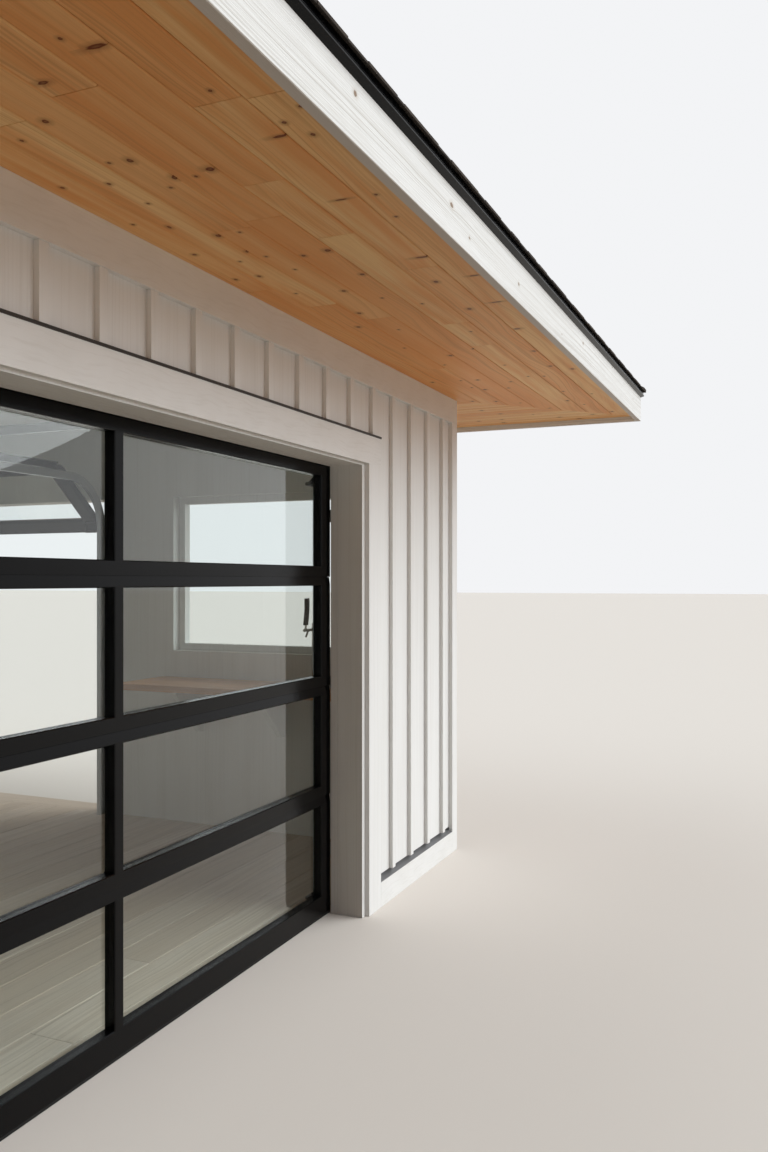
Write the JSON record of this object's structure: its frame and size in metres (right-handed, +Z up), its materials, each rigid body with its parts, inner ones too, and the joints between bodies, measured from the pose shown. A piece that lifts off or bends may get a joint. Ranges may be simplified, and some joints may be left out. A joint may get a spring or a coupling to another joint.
{
  "type": "lakeside cabin",
  "caption": "Hollow board-and-batten cabin with a hip roof, wide boarded eaves, a black glazed sectional door across its front and a window over an inside counter",
  "frame": {"origin": "middle of the roof's plan, at ground level under the walls", "axes": "+Z up; the glazed door faces -Y; +X is to the right seen from in front of the door, along the longest side of the roof"},
  "size_m": [9.178, 7.382, 4.3534],
  "materials": {
    "black_aluminium": "satin black powder coat",
    "black_plastic": "black moulded handle",
    "chrome": "polished chrome",
    "counter_wood": "oiled light wood",
    "dark_metal": "black painted sheet metal",
    "floor_boards": "weathered deck boards",
    "galvanised": "galvanised steel",
    "glass": "clear glazing",
    "grey_metal": "grey sheet metal flashing",
    "interior_white": "white painted panel",
    "pine": "clear-finished knotty pine tongue-and-groove",
    "rubber": "black rubber seal",
    "shingles": "dark granule asphalt shingles",
    "white_boards": "white opaque stain on rough-sawn boards"
  },
  "bodies": {
    "root": {"back_wall": "white_boards", "base_flashing": "grey_metal", "battens_back": "white_boards", "battens_front": "white_boards", "battens_left": "white_boards", "battens_right": "white_boards", "ceiling": "interior_white", "corner_boards": "white_boards", "counter": "counter_wood", "counter_brackets": "interior_white", "door_casing": "white_boards", "door_glass": "glass", "door_hinges": "dark_metal", "door_lining": "white_boards", "door_rollers": "dark_metal", "door_seals": "rubber", "door_section_1": "black_aluminium", "door_section_2": "black_aluminium", "door_section_3": "black_aluminium", "door_section_4": "black_aluminium", "door_tracks": "galvanised", "drip_edge": "dark_metal", "fascia_back": "white_boards", "fascia_front": "white_boards", "fascia_left": "white_boards", "fascia_right": "white_boards", "floor": "floor_boards", "frieze_boards": "white_boards", "front_wall_header": "white_boards", "front_wall_left": "white_boards", "front_wall_right": "white_boards", "head_flashings": "dark_metal", "left_wall": "white_boards", "right_wall": "white_boards", "roof_back": "shingles", "roof_caps": "shingles", "roof_front": "shingles", "roof_left": "shingles", "roof_right": "shingles", "side_door_glass": "glass", "side_door_sections": "black_aluminium", "skirting_boards": "white_boards", "soffit_back": "pine", "soffit_front": "pine", "soffit_left": "pine", "soffit_right": "pine", "tap_column": "chrome", "tap_handle": "black_plastic", "track_brackets": "galvanised", "window_casings": "white_boards", "window_frames": "white_boards", "window_glass": "glass"}
  },
  "joints": []
}
